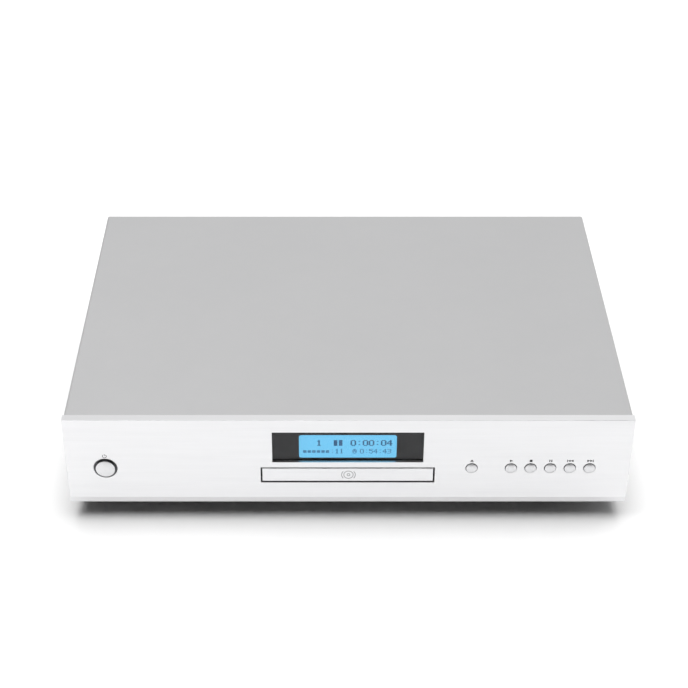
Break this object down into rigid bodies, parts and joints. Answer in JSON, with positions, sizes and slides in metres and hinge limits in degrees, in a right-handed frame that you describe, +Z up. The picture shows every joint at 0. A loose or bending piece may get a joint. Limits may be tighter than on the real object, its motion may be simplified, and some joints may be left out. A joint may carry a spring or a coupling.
{
  "type": "cd player",
  "caption": "Full-width hi-fi disc player: brushed metal front with a lit display window, a disc tray, a power button and a row of transport buttons.",
  "frame": {"origin": "on the surface the feet stand on, under the middle of the overall width and depth", "axes": "+Z up, the faceplate faces -Y, +X to the right as seen from the front"},
  "size_m": [0.43, 0.314, 0.098],
  "materials": {
    "face_aluminium": "fine horizontal brushing, satin clear anodised",
    "cover_paint": "satin silver-grey powder coat",
    "plated_steel": "zinc-plated sheet steel",
    "window_acrylic": "clear acrylic with a dark smoke tint",
    "lcd_blue": "backlit light-blue display",
    "bezel_black": "moulded, fine grain",
    "board_green": "solder mask",
    "switch_black": "moulded",
    "button_silver": "satin silver plating",
    "ring_grey": "moulded, glossy",
    "rod_white": "acetal, natural",
    "foot_plastic": "moulded, satin",
    "pad_rubber": "moulded",
    "tray_plastic": "moulded, fine grain",
    "gear_plastic": "acetal, natural",
    "motor_steel": "drawn can",
    "belt_rubber": "square cord",
    "winding_tape": "polyester tape",
    "jack_gold": "gold-plated",
    "pin_metal": "nickel-plated",
    "socket_black": "moulded",
    "can_sleeve": "heat-shrunk sleeve",
    "chip_black": "moulded",
    "sink_aluminium": "extruded, anodised",
    "screw_steel": "zinc-plated",
    "screw_black": "black oxide",
    "ribbon_white": "laminated flat cable",
    "wire_red": "insulated wire",
    "lens_glass": "coated objective lens"
  },
  "bodies": {
    "chassis": {"base_pan": "plated_steel", "button_switches": "switch_black", "capacitors": "can_sleeve", "case_screws": "screw_black", "chips": "chip_black", "clamper_bridge": "plated_steel", "control_jacks": "socket_black", "display_board": "board_green", "display_ribbon": "ribbon_white", "display_window": "window_acrylic", "faceplate": "face_aluminium", "feet": "foot_plastic", "foot_pads": "pad_rubber", "foot_screws": "screw_steel", "front_subpanel": "plated_steel", "heat_sink": "sink_aluminium", "inlet_pins": "pin_metal", "inner_screws": "screw_steel", "lcd_frame": "bezel_black", "lcd_screen": "lcd_blue", "loader_brackets": "plated_steel", "loader_frame": "tray_plastic", "loading_belt": "belt_rubber", "loading_motor": "motor_steel", "main_board": "board_green", "mains_inlet": "socket_black", "power_board": "board_green", "power_ring": "ring_grey", "power_switch": "switch_black", "rca_barrels": "jack_gold", "rca_bodies": "socket_black", "rear_panel": "plated_steel", "top_cover": "cover_paint", "transformer": "winding_tape", "transformer_clamp": "plated_steel", "wire_leads": "wire_red"},
    "tray": {"tray": "tray_plastic", "tray_front": "face_aluminium"},
    "drive_gear": {"drive_gear": "gear_plastic"},
    "pulley_gear": {"pulley_gear": "gear_plastic"},
    "motor_pulley": {"motor_pulley": "gear_plastic"},
    "cam_slider": {"cam_slider": "gear_plastic"},
    "deck": {"traverse_frame": "tray_plastic", "spindle_motor": "motor_steel", "sled_rods": "pin_metal", "sled_motor": "motor_steel"},
    "turntable": {"turntable": "bezel_black"},
    "clamper": {"clamper": "gear_plastic"},
    "pickup": {"pickup": "socket_black", "pickup_lens": "lens_glass"},
    "sled_gear": {"sled_gear": "gear_plastic"},
    "sled_pinion": {"sled_pinion": "gear_plastic"},
    "power_button": {"power_button": "button_silver", "power_rod": "rod_white"},
    "eject_button": {"eject_button": "button_silver"},
    "play_button": {"play_button": "button_silver"},
    "stop_button": {"stop_button": "button_silver"},
    "pause_button": {"pause_button": "button_silver"},
    "previous_button": {"previous_button": "button_silver"},
    "next_button": {"next_button": "button_silver"}
  },
  "joints": [
    {"name": "tray_slide", "type": "slide", "parent": "chassis", "child": "tray", "axis": [0, -1, 0], "range_m": [0, 0.138]},
    {"name": "drive_gear_spin", "type": "hinge", "parent": "chassis", "child": "drive_gear", "pos_m": [-0.0472, -0.13, 0.041], "axis": [0, 0, 1], "range_deg": [-3, 1132.5]},
    {"name": "pulley_gear_spin", "type": "hinge", "parent": "chassis", "child": "pulley_gear", "pos_m": [-0.0297, -0.1342, 0.031], "axis": [0, 0, 1], "range_deg": [-2262.1, 3]},
    {"name": "motor_pulley_spin", "type": "hinge", "parent": "chassis", "child": "motor_pulley", "pos_m": [0.0198, -0.132, 0.0355], "axis": [0, 0, 1], "range_deg": [-6780.3, 3]},
    {"name": "deck_lift", "type": "hinge", "parent": "chassis", "child": "deck", "pos_m": [-0.0002, 0.0276, 0.039], "axis": [-1, 0, 0], "range_deg": [0, 5]},
    {"name": "cam_slide", "type": "slide", "parent": "chassis", "child": "cam_slider", "axis": [1, 0, 0], "range_m": [-0.0002, 0.0182]},
    {"name": "turntable_spin", "type": "hinge", "parent": "deck", "child": "turntable", "pos_m": [-0.0002, -0.08107, 0.04194], "axis": [0, -0.0872, 0.9962], "continuous": true},
    {"name": "sled_slide", "type": "slide", "parent": "deck", "child": "pickup", "axis": [0, 0.9962, 0.0872], "range_m": [0, 0.035]},
    {"name": "sled_gear_spin", "type": "hinge", "parent": "deck", "child": "sled_gear", "pos_m": [0.0314, -0.02978, 0.03398], "axis": [0, -0.0872, 0.9962], "range_deg": [-560, 3]},
    {"name": "sled_pinion_spin", "type": "hinge", "parent": "deck", "child": "sled_pinion", "pos_m": [0.03619, -0.02081, 0.03476], "axis": [0, -0.0872, 0.9962], "range_deg": [-3, 1339.9]},
    {"name": "clamper_spin", "type": "hinge", "parent": "chassis", "child": "clamper", "pos_m": [-0.0002, -0.0804, 0.0484], "axis": [0, 0, 1], "continuous": true},
    {"name": "power_press", "type": "slide", "parent": "chassis", "child": "power_button", "axis": [0, 1, 0], "range_m": [0, 0.003], "stiffness_N_per_m": 900},
    {"name": "eject_press", "type": "slide", "parent": "chassis", "child": "eject_button", "axis": [0, 1, 0], "range_m": [0, 0.0006], "stiffness_N_per_m": 2500},
    {"name": "play_press", "type": "slide", "parent": "chassis", "child": "play_button", "axis": [0, 1, 0], "range_m": [0, 0.0006], "stiffness_N_per_m": 2500},
    {"name": "stop_press", "type": "slide", "parent": "chassis", "child": "stop_button", "axis": [0, 1, 0], "range_m": [0, 0.0006], "stiffness_N_per_m": 2500},
    {"name": "pause_press", "type": "slide", "parent": "chassis", "child": "pause_button", "axis": [0, 1, 0], "range_m": [0, 0.0006], "stiffness_N_per_m": 2500},
    {"name": "previous_press", "type": "slide", "parent": "chassis", "child": "previous_button", "axis": [0, 1, 0], "range_m": [0, 0.0006], "stiffness_N_per_m": 2500},
    {"name": "next_press", "type": "slide", "parent": "chassis", "child": "next_button", "axis": [0, 1, 0], "range_m": [0, 0.0006], "stiffness_N_per_m": 2500}
  ],
  "couplings": [
    {"joint": "drive_gear_spin", "follows": "tray_slide", "rad_per_m": 142.86},
    {"joint": "pulley_gear_spin", "follows": "tray_slide", "rad_per_m": -285.71},
    {"joint": "motor_pulley_spin", "follows": "tray_slide", "rad_per_m": -857.14},
    {"joint": "cam_slide", "follows": "deck_lift", "m_per_rad": 0.20627},
    {"joint": "sled_gear_spin", "follows": "sled_slide", "rad_per_m": -277.78},
    {"joint": "sled_pinion_spin", "follows": "sled_slide", "rad_per_m": 666.67}
  ]
}
